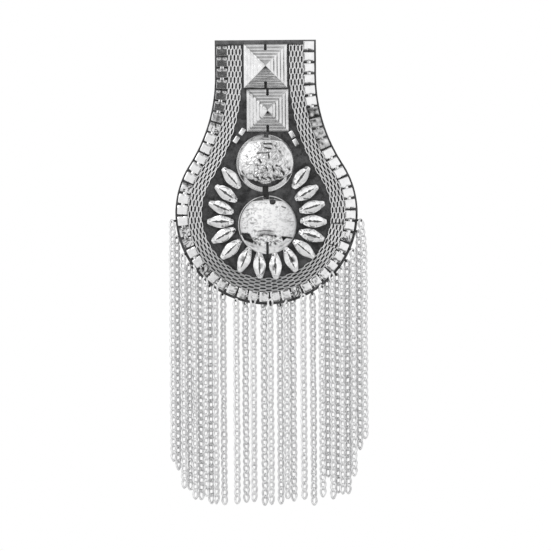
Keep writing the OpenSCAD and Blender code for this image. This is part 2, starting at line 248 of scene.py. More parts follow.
def ring_round(p, tangent, up, radius, sides):
    """Points round a wire at p, square to its tangent."""
    side = tangent.cross(up).normalized()
    lift = side.cross(tangent)
    turns = [2 * pi * k / sides for k in range(sides)]
    return [p + side * (radius * cos(a)) + lift * (radius * sin(a)) for a in turns]


def tube(path, radii, sides):
    """A capped tube round the points of a path, with a radius for each point."""
    points = [Vector(p) for p in path]
    rings = []
    for before, p, after, radius in zip(points[:1] + points, points, points[1:] + points[-1:], radii):
        rings.append(ring_round(p, (after - before).normalized(), Vector((0.0, 1.0, 0.0)), radius, sides))
    return loft(rings)


def new_mesh(name, verts, faces):
    """A mesh from points in millimetres, with its faces turned outward."""
    mesh = bpy.data.meshes.new(name)
    mesh.from_pydata([(x * MM, y * MM, z * MM) for x, y, z in verts], [], faces)
    work = bmesh.new()
    work.from_mesh(mesh)
    bmesh.ops.recalc_face_normals(work, faces=work.faces)
    work.to_mesh(mesh)
    work.free()
    return mesh


def new_object(name, data):
    thing = bpy.data.objects.new(name, data)
    bpy.context.scene.collection.objects.link(thing)
    return thing


def make_piece(name, shape, material, replaces=(), hollows=None):
    """Makes a piece from points and faces, with a darkness for each point: tarnish, and painted shade and
    shadow.
    """
    mesh = new_mesh(name, *shape)
    if hollows:
        mesh.attributes.new("hollow", "FLOAT", "POINT").data.foreach_set("value", hollows)
    mesh.polygons.foreach_set("use_smooth", [True] * len(mesh.polygons))
    mesh.materials.append(material)
    piece = new_object(name, mesh)
    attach(piece, "root")
    if replaces:
        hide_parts(*replaces)
    return piece


def cut(piece, x, z, outline, depth):
    """Cuts an outline round the point x, z out of a piece, from the felt up to a height."""
    rings = [[(x + px, y, z + pz) for px, pz in outline] for y in (FACE_Y + 0.5, FACE_Y - depth)]
    cutter = new_object("cutter", new_mesh("cutter", *loft(rings)))
    modifier = piece.modifiers.new("cut", "BOOLEAN")
    modifier.operation = "DIFFERENCE"
    modifier.solver = "EXACT"
    modifier.object = cutter
    depsgraph = bpy.context.evaluated_depsgraph_get()
    result = bpy.data.meshes.new_from_object(piece.evaluated_get(depsgraph))
    result.set_sharp_from_angle(angle=radians(60))
    piece.modifiers.remove(modifier)
    old = piece.data
    piece.data = result
    bpy.data.meshes.remove(old)
    bpy.data.objects.remove(cutter)


# Materials

class Nodes:
    """A short way to add nodes to a tree."""

    def __init__(self, tree):
        self.tree = tree

    def feed(self, node, inputs):
        """Sets each input to a value, or links it where the value is another node's socket."""
        for key, value in inputs.items():
            if isinstance(value, bpy.types.NodeSocket):
                self.tree.links.new(value, node.inputs[key])
            else:
                node.inputs[key].default_value = value

    def add(self, kind, inputs=None, output=0, **settings):
        node = self.tree.nodes.new(kind)
        for key, value in settings.items():
            setattr(node, key, value)
        self.feed(node, inputs or {})
        return node.outputs[output] if node.outputs else node

    def math(self, operation, *terms):
        return self.add("ShaderNodeMath", dict(enumerate(terms)), operation=operation)

    def ramp(self, value, low, high, low_at=0.3, high_at=0.7, **settings):
        inputs = {"Value": value, "From Min": low_at, "From Max": high_at, "To Min": low, "To Max": high}
        return self.add("ShaderNodeMapRange", inputs, "Result", **settings)

    def noise(self, scale, detail=3.0, roughness=0.6, distortion=0.0):
        """Noise whose grain is about one over scale millimetres."""
        inputs = {"Vector": self.add("ShaderNodeTexCoord", output="Object"), "Scale": scale / MM}
        inputs.update({"Detail": detail, "Roughness": roughness, "Distortion": distortion})
        return self.add("ShaderNodeTexNoise", inputs, "Fac")

    def tinted(self, value, tint=(1.0, 1.0, 1.0)):
        return self.add("ShaderNodeVectorMath", {0: tint, "Scale": value}, "Vector", operation="SCALE")

    def bump(self, height, distance, onto=None):
        inputs = {"Height": height, "Distance": distance * MM}
        if onto is not None:
            inputs["Normal"] = onto
        return self.add("ShaderNodeBump", inputs, "Normal")


class Surface(Nodes):
    """The nodes of a new material."""

    def __init__(self, name):
        self.material = bpy.data.materials.new(name)
        self.material.use_nodes = True
        super().__init__(self.material.node_tree)

    def finished(self, inputs):
        self.feed(self.tree.nodes["Principled BSDF"], inputs)
        return self.material


def metal(name, shade, rough, dent_scale=0.5, dent=0.05, grain=0.01, tarnish=0.85, hollows=True):
    """Silver-toned plated metal: slightly uneven gloss, soft dents, a fine grain and darker tarnish, darkened
    further where the mesh carries painted shade and tarnish.
    """
    n = Surface(name)
    value = n.ramp(n.noise(0.35, detail=4.0), shade * tarnish, shade, 0.35, 0.6)
    if hollows:
        hollow = n.add("ShaderNodeAttribute", output="Fac", attribute_name="hollow")
        value = n.math("MULTIPLY", value, n.ramp(hollow, 1.0, 0.05, 0.0, 1.0))
    soft = n.bump(n.noise(dent_scale, detail=2.0), dent)
    return n.finished({
        "Base Color": n.tinted(value, (1.0, 1.0, 1.005)),
        "Metallic": 1.0,
        "Roughness": n.ramp(n.noise(0.9), rough * 0.75, rough * 1.3),
        "Normal": n.bump(n.noise(6.0), grain, soft),
    })


def felt(name, shade, light):
    """Pressed wool felt: matted fibres over a cloudy mottle, with a dusty sheen."""
    n = Surface(name)
    cloud = n.noise(0.22, detail=4.0, distortion=0.6)
    fibre = n.noise(1.6, detail=6.0, roughness=0.75, distortion=1.5)
    value = n.ramp(n.math("ADD", cloud, fibre), shade, light, 0.83, 1.17)
    return n.finished({
        "Base Color": n.tinted(value, (1.0, 1.0, 1.02)),
        "Roughness": 0.95,
        "Specular IOR Level": 0.15,
        "Sheen Weight": 0.12,
        "Sheen Roughness": 0.6,
        "Normal": n.bump(fibre, 0.16, n.bump(cloud, 0.25)),
    })


def thread(name, dark, light):
    """Sewing thread with a twist."""
    n = Surface(name)
    twist = n.noise(3.0)
    return n.finished({
        "Base Color": n.tinted(n.ramp(twist, dark, light)),
        "Roughness": 0.75,
        "Normal": n.bump(twist, 0.05),
    })


board_felt = felt("board_felt", 0.028, 0.112)
hem_felt = felt("hem_felt", 0.07, 0.17)
tile_metal = metal("tile_silver", 0.95, 0.1, dent=0.015, grain=0.004, tarnish=0.9)
mesh_metal = metal("net_silver", 0.87, 0.32, dent_scale=0.8, dent=0.03)
stamped_metal = metal("stamped_silver", 0.9, 0.16, dent_scale=0.35, dent=0.03)
hammered_metal = metal("hammered_silver", 0.94, 0.24, dent_scale=0.8, dent=0.06)
satin_metal = metal("satin_silver", 1.0, 0.75, dent_scale=0.8, dent=0.08, tarnish=1.0)
navette_metal = metal("navette_silver", 1.0, 0.1, dent_scale=0.3, dent=0.03, grain=0.003, tarnish=0.95)
bead_metal = metal("bead_silver", 0.97, 0.14, dent_scale=0.4, dent=0.04)
chain_metal = metal("chain_silver", 0.94, 0.5, dent_scale=0.8, dent=0.02, hollows=False)
pin_metal = metal("pin_steel", 0.62, 0.3, dent=0.03, hollows=False)
black_thread = thread("sewing_thread", 0.008, 0.045)


# Felt board

def outline_ring(inset, y, count=420):
    way = 2 * half_way(inset)
    first = max(inset, 0.0)
    ring = []
    for i in range(count):
        s = first + (way - 2 * first) * i / (count - 1)
        x, z = on_band(s, inset)
        fuzz = 0.05 * noise.noise(Vector((x, y, z)) * 1.7)
        ring.append((x + fuzz, y, z + fuzz))
    return ring


def build_board():
    """The keyhole of felt, with its cut edges worn round."""
    round_r = 0.22
    face_inset = 1.2
    turns = [radians(a) for a in (0, 30, 60, 90)]
    edge = [(round_r * (1 - sin(a)), round_r * (1 - cos(a))) for a in turns]
    rings = [outline_ring(face_inset, 0.0)]
    rings += [outline_ring(inset, -depth) for inset, depth in edge]
    rings += [outline_ring(inset, -BOARD_T + depth) for inset, depth in reversed(edge)]
    rings.append(outline_ring(face_inset, -BOARD_T))
    make_piece("felt_board", loft(rings), board_felt, ["board"])


def build_hem():
    """The top edge is folded over the board and pressed flat."""
    top = TOP_Z
    low = TOP_Z - HEM_H
    front = -BOARD_T - 0.35
    back = 0.3
    profile = [
        (back, low + 0.3), (back, top - 0.7), (back - 0.3, top - 0.2), (back - 0.8, top),
        (front + 0.8, top), (front + 0.25, top - 0.3), (front, top - 0.9), (front, low + 0.5),
        (front + 0.15, low + 0.12), (front + 0.4, low), (-BOARD_T / 2, low), (0.1, low),
    ]
    rings = []
    count = 90
    for i in range(count + 1):
        x = -NECK_R + 2 * NECK_R * i / count
        shrink = 0.25 if i in (0, count) else 0.0
        rings.append([
            (x, y * (1 - shrink) + 0.06 * uneven(x * 0.6, y, z),
             z - shrink * (z - (top + low) / 2) + 0.07 * uneven(x * 0.5, y + 9.0, z))
            for y, z in profile
        ])
    make_piece("folded_hem", loft(rings), hem_felt)


# Tile trim

# Where the points of a tile's face lie, along and across
TILE_GRID = (-1.0, -0.95, -0.8, -0.6, -0.4, -0.2, 0.0, 0.2, 0.4, 0.6, 0.8, 0.95, 1.0)


def tile_height(u, v, seed, flat, bumps):
    """Height of a tile's face at u along and v across, both from -1 to 1, over its mean height."""
    pillow = -0.07 * (1 - flat) * (abs(u) ** 9 + abs(v) ** 9)
    pads = clamp((0.9 - abs(v)) / 0.12) * clamp((abs(v) - 0.2) / 0.15)
    lip = -0.2 * max(0.0, (-u - 0.5) / 0.5) * (pads if flat > 0.5 else 0.6)
    fold = -0.1 * bell(u + 1.0, 0.4) * bell(v, 0.17)
    return pillow + lip + fold + bumps * uneven(u * 1.3, v * 1.3, seed * 3.7)


def tile_painted_shade(u, v, seed, flat, painted_shade):
    """Painted shade on a tile's face: cloudy, with swirls of painted reflection where it is strong, and
    deeper by the lip of a flat tile.
    """
    cloud = painted_shade * (1 + uneven(u * 1.6, v * 1.6, seed * 2.9 + 50))
    swirl = uneven(u * 1.1, v * 1.1, seed * 1.3 + 90)
    cloud += 0.9 * clamp(painted_shade - 0.3) * (bell(swirl, 0.07) + bell(swirl - 0.3, 0.07))
    if flat > 0.5:
        cloud += 0.8 * bell(u + 1.0, 0.5) * bell(v, 0.2) + 0.34 * clamp((-u - 0.45) / 0.15)
    return clamp(cloud)


def add_tile(batch, darks, s, length, seed, lean, tip, flat, bumps, painted_shade, trim):
    """A pressed plate with rolled edges, tilted a little by hand sewing."""
    points = []
    for u in TILE_GRID:
        for v in TILE_GRID:
            round_off = 1 - 0.045 * (u * v) ** 4
            along = u * length / 2 * round_off
            across = v * TILE_W / 2 * round_off + trim * (1 - v) / 2
            h = TILE_T + tile_height(u, v, seed, flat, bumps) + lean * across + tip * along
            x, z = on_band(s, TILE_MID, along, across)
            points.append((x, FACE_Y - h, z))
            darks.append(tile_painted_shade(u, v, seed, flat, painted_shade))
    n = len(TILE_GRID)
    last = n - 1
    corners = [i * n + j for i in range(last) for j in range(last)]
    faces = [(a, a + 1, a + n + 1, a + n) for a in corners]
    rim = list(range(last)) + [i * n + last for i in range(last)]
    rim += [last * n + j for j in range(last, 0, -1)] + [i * n for i in range(last, 0, -1)]
    loops = [rim]
    middle_x, middle_z = on_band(s, TILE_MID)
    for drop, grow in ((0.1, 1.012), (0.3, 1.02), (1.0, 1.02)):
        loops.append([len(points) + k for k in range(len(rim))])
        for x, y, z in [points[k] for k in rim]:
            x = middle_x + (x - middle_x) * grow
            z = middle_z + (z - middle_z) * grow
            points.append((x, y + (FACE_Y - y) * drop, z))
            darks.append(painted_shade)
    for high, low in zip(loops, loops[1:]):
        faces += [(high[k - 1], low[k - 1], low[k], high[k]) for k in range(len(rim))]
    faces.append(tuple(loops[-1]))
    batch.add(points, faces)


def add_neck(batch, darks, s, lean, painted_shade):
    """The short bridge between two tiles of one strip."""
    profile = ((-1.0, 0.05), (-1.0, 0.62), (-0.7, 0.7), (0.0, 0.71), (0.7, 0.7), (1.0, 0.62), (1.0, 0.05))
    rings = []
    for share in (-0.9, -0.4, 0.4, 0.9):
        ring = []
        for across, h in profile:
            way = across * TILE_NECK_W / 2
            x, z = on_band(s, TILE_MID, share * TILE_NECK_L, way)
            ring.append((x, FACE_Y - h - lean * way * (h > 0.5), z))
        rings.append(ring)
        darks.extend([painted_shade] * len(ring))
    batch.add(*loft(rings))


def tile_starts():
    """Way to the start, number of tiles and length of the first tile of each strip."""
    way = 2 * half_way(TILE_MID)
    pitch = STRIP_TILES * TILE_L + (STRIP_TILES - 1) * TILE_NECK_L + STRIP_GAP
    count = floor((way - FIRST_GAP - STRIP_GAP) / pitch)
    starts = [(FIRST_GAP - STRIP_GAP / 2 - TILE_L, 1, TILE_L)]
    starts += [(FIRST_GAP + STRIP_GAP / 2 + i * pitch, STRIP_TILES, TILE_L) for i in range(count)]
    last = FIRST_GAP + STRIP_GAP / 2 + count * pitch
    starts.append((last, 1, min(TILE_L, way - last)))
    return starts


# Tiles that were knocked flat or bent: middle of the place, its reach, how flat and bumpy they are, and how
# much painted shade they get, with swirls of painted reflection where it is strong
KNOCKED = (
    (26.6, -24.2, 2.8, 0.5, 0.05, 0.64),
    (30.0, -36.5, 6.8, 0.45, 0.1, 0.42),
    (-46.0, -67.0, 4.5, 0.85, 0.28, 0.1),
    (-45.0, -93.0, 7.0, 0.85, 0.3, 0.17),
    (-33.0, -110.5, 5.0, 0.85, 0.12, 0.23),
    (18.0, -123.5, 5.0, 0.85, 0.2, 0.17),
    (44.0, -92.0, 4.0, 0.85, 0.28, 0.1),
    (-26.0, -34.0, 3.0, 0.85, 0.3, 0.1),
)


def tile_state(s):
    """How flat the tiles lie at a way along the band, from 0 to 1, how bumpy they are and how much painted
    shade they get, more towards the bottom and the left.
    """
    x, z = band_place(s, TILE_MID)[:2]
    low = below(z, -95, 8)
    left = clamp((8 - x) / 16)
    # Painted shade, more towards the bottom and the left of the band
    painted_shade = low * (0.07 + 0.06 * left)
    for px, pz, reach, *state in KNOCKED:
        if hypot(x - px, z - pz) < reach:
            return state
    flat = clamp((z + 32) / 6) if x < 0 else 0.0
    return flat, 0.03 + 0.05 * low * left, painted_shade


def build_tiles():
    rng = random.Random(11)
    batch = Batch()
    darks = []
    seed = 0
    for start, tiles, first_l in tile_starts():
        strip_tip = rng.uniform(-0.02, 0.02)
        strip_roll = rng.uniform(-0.015, 0.015)
        s = start
        for i in range(tiles):
            length = first_l if i == 0 else TILE_L
            flat, bumps, painted_shade = tile_state(s + length / 2)
            loose = 1 - 0.6 * flat
            z = band_place(s, TILE_MID)[1]
            low = below(z, -102, 12)
            lean = (0.12 - 0.02 * low) * (1 - flat) + loose * (strip_roll + rng.uniform(-0.01, 0.01))
            tip = loose * (strip_tip + rng.uniform(-0.015, 0.015))
            trim = TILE_TRIM * below(z, -78, 14)
            add_tile(batch, darks, s + length / 2, length, seed, lean, tip, flat, bumps, painted_shade, trim)
            if i:
                add_neck(batch, darks, s - TILE_NECK_L / 2, lean, painted_shade)
            s += length + TILE_NECK_L
            seed += 1
    make_piece("tile_strips", batch, tile_metal, ["tile_chain"], darks)


# Net ribbon

def net_wave(row):
    """Side to side swing of a wire, from 1 to -1: straight along a slit, then across to the next pair."""
    return max(-1.0, min(1.0, 3.0 * cos(pi * row)))


# Way from one slit of the net to the next, number of wires, way from wire to wire and how far they swing
NET_PITCH = 3.06
NET_WIRES = 8
NET_STEP = 0.97
NET_SWING = 0.21
# Half the thickness of a wire along a slit, and what it gains where it swings across
NET_WIRE_R = 0.28
NET_PINCH = 0.13
# Parts of a slit's length at which a wire has a point
NET_SAMPLES = (0.0, 0.14, 0.27, 0.36, 0.44, 0.56, 0.64, 0.73, 0.86)


def build_net():
    """Eight wires side by side that lie against their left and right neighbours in turn."""
    first = HEM_H + 0.2
    shift = 0.2
    sides = 8
    way = 2 * half_way(MESH_MID)
    rows = floor((way - first - shift) / NET_PITCH) + 1
    rng = random.Random(5)
    jitter = [rng.uniform(-0.2, 0.2) for _ in range(rows + 1)]
    batch = Batch()
    darks = []
    for j in range(NET_WIRES):
        base = (j - (NET_WIRES - 1) / 2) * NET_STEP
        away = 1 if j % 2 else -1
        path = []
        radii = []
        for k, part in [(k, part) for k in range(rows) for part in NET_SAMPLES]:
            s = shift + (k + part) * NET_PITCH + jitter[k] * (1 - part) + jitter[k + 1] * part
            if s < first or s > way - first:
                continue
            wave = net_wave(k + part)
            inward = base + away * NET_SWING * wave + 0.07 * uneven(s * 0.2, j * 2.1, 0.0)
            x, z = on_band(s, MESH_MID, 0.0, inward)
            path.append((x, FACE_Y - NET_WIRE_R - 0.12 - 0.04 * uneven(s * 0.5, j * 3.3, 7.0), z))
            radii.append(NET_WIRE_R + NET_PINCH * (1 - abs(wave)))
            # Painted shade, darker towards the bottom of the band
            darks += [0.24 * below(z, -96, 12)] * sides
        batch.add(*tube(path, radii, sides))
    make_piece("net_ribbon", batch, mesh_metal, ["mesh_band"], darks)


# Square studs

def rounded_square(half, corner, per_side=14, per_corner=5):
    """Points of a square ring with rounded corners, the same number for every size."""
    corner = min(corner, half * 0.95)
    points = []
    for q in range(4):
        turn = q * pi / 2
        c = cos(turn)
        n = sin(turn)
        flat = half - corner
        side = [(half, -flat + 2 * flat * k / per_side) for k in range(per_side)]
        bend = [pi / 2 * k / per_corner for k in range(per_corner)]
        side += [(flat + corner * cos(a), flat + corner * sin(a)) for a in bend]
        points += [(x * c - y * n, x * n + y * c) for x, y in side]
    return points


# The square studs, one row each: place, seed, softness of the corners, waves of the ridges on the right,
# top, left and bottom faces, painted shade on the whole, on the top face and along the corner of the left and
# top faces, and the triangle of painted shade below the tip: its reach, its slope at the sides and how dark
# it is
SQUARE_STUDS = (
    ("upper", 3.0, 0.0, (1.4, 0.6, 0.7, 0.68), (0.0, 0.08, 0.34), (1.7, 1.0, 0.8)),
    ("lower", 8.0, 1.3, (1.5, 0.7, 1.0, 0.9), (0.07, 0.16, 0.62), (1.9, 2.1, 0.9)),
)
# Steps that are ridged, from the rim; the rest is a plain small pyramid
RIDGED = 5.0
# Heights over the felt that a cut reaches: through any stud, and through a flange alone
THROUGH = 8.0
THROUGH_FLANGE = 1.3


def ridge_height(turns, wave):
    """Height of the stamped face, counted in steps in from the rim: ridges with flat treads between them."""
    height = turns
    if turns < RIDGED:
        height -= wave * sin(2 * pi * turns) / (2 * pi)
        height += max(0.0, wave - 0.9) * sin(4 * pi * turns) / (4 * pi)
    return RIM_T - 0.1 + STEP_RISE * height


def side_wave(px, pz, waves):
    """The wave of the face that a point is on, blended over the corners."""
    r = hypot(px, pz)
    shares = [max(0.0, d / r) ** 6 for d in (px, pz, -px, -pz)]
    return sum(a * b for a, b in zip(shares, waves)) / sum(shares)


def add_notch(piece, x, z, side, w, length, height, width=NOTCH_W, hole=0.0):
    """Cuts a sewing notch into the top (side 1) or the foot (side -1) of a stud w across."""
    end = w / 2 - length
    outside = w / 2 + 1.0
    outline = [(-width / 2, outside), (-width / 2, end)]
    turns = [radians(a) for a in range(150, 391, 20)] if hole else []
    outline += [(hole / 2 * cos(a), end + hole / 2 * sin(a)) for a in turns]
    outline += [(width / 2, end), (width / 2, outside)]
    cut(piece, x, z, [(px, side * pz) for px, pz in outline], height)


def build_square_stud(place, seed, corner, waves, painted_shade, tip):
    node = f"pyramid_{place}"
    x, z, w = node_middle(node)
    whole, on_top, on_corner = painted_shade
    reach, slope, strength = tip
    run = w / (2 * (STUD_STEPS + 0.5))
    per_step = 14
    rings = [[(x + px, FACE_Y, z + pz) for px, pz in rounded_square(w / 2, 0.2)]]
    darks = [0.0] * len(rings[0])
    for i in range(STUD_STEPS * per_step + 4):
        depth = run * (i / per_step)
        half = w / 2 - depth
        if half < 0.12:
            break
        soft = 0.12 + corner * clamp(3 * depth / w) * clamp(half / 3.2)
        ring = []
        for px, pz in rounded_square(half, soft):
            height = ridge_height(depth / run, side_wave(px, pz, waves))
            height += 0.05 * uneven(px * 0.35, pz * 0.35, seed)
            ring.append((x + px, FACE_Y - height, z + pz))
            # Painted shade over the whole stud, on the top face and along the rounded corner of the left and
            # top faces, where a highlight would be, and in a triangle below the tip
            dark = whole + on_top * clamp((pz - abs(px)) / 1.5 + 0.3) * clamp(pz - 2.0)
            if px < 0 < pz:
                dark += on_corner * clamp(1 - abs(px + pz) / 1.7)
            darks.append(dark + strength * clamp((-pz - slope * abs(px)) / 0.15) * clamp((reach + pz) / 0.2))
        rings.append(ring)
    piece = make_piece(f"square_stud_{place}", loft(rings), stamped_metal, [node], darks)
    for side in (1, -1):
        add_notch(piece, x, z, side, w, NOTCH_L, THROUGH, hole=THREAD_HOLE_D)


# Round studs

def way_off(px, pz, mark):
    """Distance of a point from a line given by its two ends."""
    x1, z1, x2, z2 = mark
    dx = x2 - x1
    dz = z2 - z1
    t = clamp(((px - x1) * dx + (pz - z1) * dz) / (dx * dx + dz * dz))
    return hypot(px - x1 - t * dx, pz - z1 - t * dz)


def groove(px, pz, marks):
    """How deep a point lies in the knocks and creases: each row has two ends, half a width and a strength."""
    depth = 0.0
    for *ends, width, strength in marks:
        away = way_off(px, pz, ends)
        if away < 2 * width:
            depth = max(depth, strength * bell(away, width, 2.5))
    return depth


def within(px, pz, corners):
    """Way that a point lies inside a shape with the corners in clockwise order, negative outside."""
    inside = 100.0
    for (x1, z1), (x2, z2) in zip(corners, corners[1:] + corners[:1]):
        dx = x2 - x1
        dz = z2 - z1
        inside = min(inside, ((px - x1) * dz - (pz - z1) * dx) / hypot(dx, dz))
    return inside


def hammer(px, pz, seed, size):
    """Depth of overlapping hammer dents, from 0 at their rims to 1 in their middles."""
    p = Vector((px / size, pz / size, seed))
    p += 0.3 * noise.noise_vector(p * 0.9)
    near = noise.voronoi(p)[0]
    t = min(1.0, (near[1] - near[0]) / 0.6)
    return t * (2 - t)


def worm(px, pz, seed, size, width):
    """Thin winding creases, broken into short pieces, from 0 beside a crease to 1 in it."""
    p = Vector((px / size, pz / size, seed))
    p += 0.25 * noise.noise_vector(p * 1.7)
    line = clamp(1.6 * (1 - abs(noise.noise(p)) / width))
    broken = clamp(4 * noise.noise(p * 0.8 + Vector((9.0, 4.0, 2.0))) + 0.55)
    return line * broken


# Distance that the caps sit to the right on their flanges
CAP_SHIFT = 0.35


class RoundStud:
    """A round stud: a hammered cap on a flange that shows at its top and foot."""

    # Whether the relief runs out to the cap's edge at the foot
    open_edge = False

    def __init__(self, place, seed, top, foot, marks):
        self.place = place
        self.x, self.z, self.d = node_middle(f"dome_{place}")
        self.seed = seed
        self.top = top
        self.foot = foot
        self.marks = marks
        side = self.d / 2 - FLANGE_SIDE
        self.crown_r = (side**2 + CROWN_RISE**2) / (2 * CROWN_RISE)
        self.crown_y = FLANGE_T + CAP_WALL_H + CROWN_RISE - self.crown_r

    def edge(self, angle):
        """Reach of the cap's outline along an angle: a circle cut by two flatter arcs, ragged at the foot."""
        s = sin(angle)
        arc, short = (CAP_TOP_R, self.top) if s > 0 else (CAP_FOOT_R, self.foot)
        sink = arc - (self.d / 2 - short)
        flat = sqrt(arc**2 - sink**2 * (1 - s * s)) - sink * abs(s)
        reach = min(self.d / 2 - FLANGE_SIDE + CAP_SHIFT * cos(angle), flat)
        return reach + clamp((-s - 0.35) / 0.2) * self.ragged(reach * cos(angle))

    def ragged(self, px):
        return 0.2 * uneven(px * 0.9, self.seed, 0.0)

    def surface(self, px, pz, share):
        """Height of the cap at a point, and how dark it is painted there: tarnish, and painted shade and
        shadow.
        """
        rim = max(0.0, (share - 0.87) / 0.13)
        foot = clamp((-pz - 0.55 * hypot(px, pz)) / 2) if self.open_edge else 0.0
        top = self.crown_y + sqrt(self.crown_r**2 - px**2 - pz**2) - (0.75 - 0.45 * foot) * rim**2
        low, dark = self.relief(px, pz, max(clamp((0.98 - share) / 0.08), 0.9 * foot))
        wave = 0.1 * uneven(px * 0.3, pz * 0.4, self.seed + 20)
        return max(FLANGE_T + 0.15, top + 0.12 - wave - low), clamp(dark)

    def build(self, material):
        count = 300
        angles = [2 * pi * k / count for k in range(count)]
        r = self.d / 2
        rings = []
        hollows = []

        def add_ring(reaches, heights, darks):
            rings.append([
                (self.x + reach * cos(a), FACE_Y - height, self.z + reach * sin(a))
                for a, reach, height in zip(angles, reaches, heights)
            ])
            hollows.extend(darks)

        edges = [self.edge(a) for a in angles]
        rolls = [clamp((r - edge - 0.05) / 0.55) for edge in edges]
        rim_darks = [self.rim_dark(a) for a in angles]
        for inset, height in ((0.3, 0.0), (0.06, 0.1), (0.0, 0.28), (0.08, 0.5), (0.25, 0.58), (0.45, 0.5)):
            add_ring([r - inset * roll for roll in rolls], [height] * count, rim_darks)
        starts = [r - 0.49 * roll for roll in rolls]
        for inner in (0.0, 0.08, 0.25, 0.5, 0.75, 1.0):
            reaches = [start + (edge + 0.01 - start) * inner for edge, start in zip(edges, starts)]
            darks = [clamp(self.flange_dark(a, reach)) for a, reach in zip(angles, reaches)]
            add_ring(reaches, [0.45 + 0.1 * (r - 0.3 - reach) for reach in reaches], darks)
        for share, height in ((1.0, FLANGE_T), (0.995, FLANGE_T + 0.4)):
            add_ring([edge * share for edge in edges], [height] * count, [0.0] * count)
        steps = 76
        for i in range(steps):
            share = 0.99 * (1 - i / steps)
            reaches = [edge * share for edge in edges]
            faces = [self.surface(reach * cos(a), reach * sin(a), share) for a, reach in zip(angles, reaches)]
            add_ring(reaches, *zip(*faces))
        name = f"round_stud_{self.place}"
        return make_piece(name, loft(rings), material, [f"dome_{self.place}"], hollows)


class UpperRoundStud(RoundStud):
    """Its cap has come away from the flange at the foot, round a tongue in the middle."""

    open_edge = True

    def ragged(self, px):
        tongue = 0.9 * bell(px, 2.7, 4) - 0.5 * bell(abs(px) - 6, 3)
        return super().ragged(px) + tongue + 0.5 * uneven(px * 1.7, 3.0, 0.0)

    def relief(self, px, pz, smooth):
        low_right = clamp((4 - pz) / 12 + px / 60)
        sides = clamp((px + 13) / 5) * clamp((13.8 - px) / 3.5 + clamp((-pz - 1) / 4))
        strength = smooth * (0.46 + 0.38 * low_right) * (0.66 + 0.34 * sides)
        dents = 0.3 * hammer(px, pz, self.seed, 2.3) + 0.12 * hammer(px, pz, self.seed + 5, 1.3)
        creases = max(worm(px, pz, self.seed + 3, 2.0, 0.22), 0.5 * worm(px, pz, self.seed + 30, 1.4, 0.2))
        knocks = groove(px, pz, self.marks)
        cloud = uneven(px * 0.7, pz * 0.9, self.seed + 40)
        # Darkness: tarnish in the creases and knocks together with painted shade there, cloudy tarnish, and
        # painted shade over the left of the cap
        left_shade = 0.14 * clamp(-(px + 4) / 8)
        dark = 0.9 * strength * creases + smooth * knocks + 0.25 * strength * clamp(3 * cloud) + left_shade
        return strength * dents + 0.16 * strength * creases + 0.3 * smooth * knocks, dark

    def rim_dark(self, angle):
        """The rim gets painted shade along the left and the top, and a little at the foot."""
        return max(0.2, 0.42 * clamp(2 * sin(angle) + 1) * clamp(1 - 2 * cos(angle)))

    def flange_dark(self, angle, reach):
        # Painted shadow in the crescents at the sides of the foot; painted shade in stripes at the top left
        # and over the rest of the flange, more on the right
        px = reach * cos(angle)
        if sin(angle) < -0.4:
            return max(0.12, 0.95 * clamp(2 * (abs(px) - 11.2)))
        if px < 3 and sin(angle) > 0.2:
            stripe = uneven(px * 0.5, reach * 1.6, 4.0)
            return 0.3 + 0.4 * clamp(4 * stripe - 0.3)
        return 0.45 if px < 0 else 0.65

    def open_foot(self, piece):
        """Cuts away the flange between the cap's foot and the rim that is left below it."""
        inner = []
        outer = []
        far = self.d / 2 - FOOT_RIM_W
        for a in [radians(degrees) for degrees in range(216, 325, 3)]:
            near = self.edge(a) + 0.06
            if near < far - 0.1:
                inner.append((near * cos(a), near * sin(a)))
                outer.append((far * cos(a), far * sin(a)))
        cut(piece, self.x, self.z, inner + outer[::-1], THROUGH_FLANGE)


# Corners of the two places where the lower round stud's cap is pressed in and painted with shadow
LEFT_DENT = [(-16.2, -3.7), (-9.4, -4.5), (-7.2, -9.0), (-8.2, -9.9), (-16.2, -6.6)]
RIGHT_DENT = [(7.3, -6.1), (10.8, -6.9), (8.4, -9.2)]
# Outline of the chip in that cap's top edge
CHIP = ((1.2, 13.6), (1.5, 11.4), (2.3, 10.8), (3.7, 10.9), (4.6, 11.8), (4.7, 13.6))


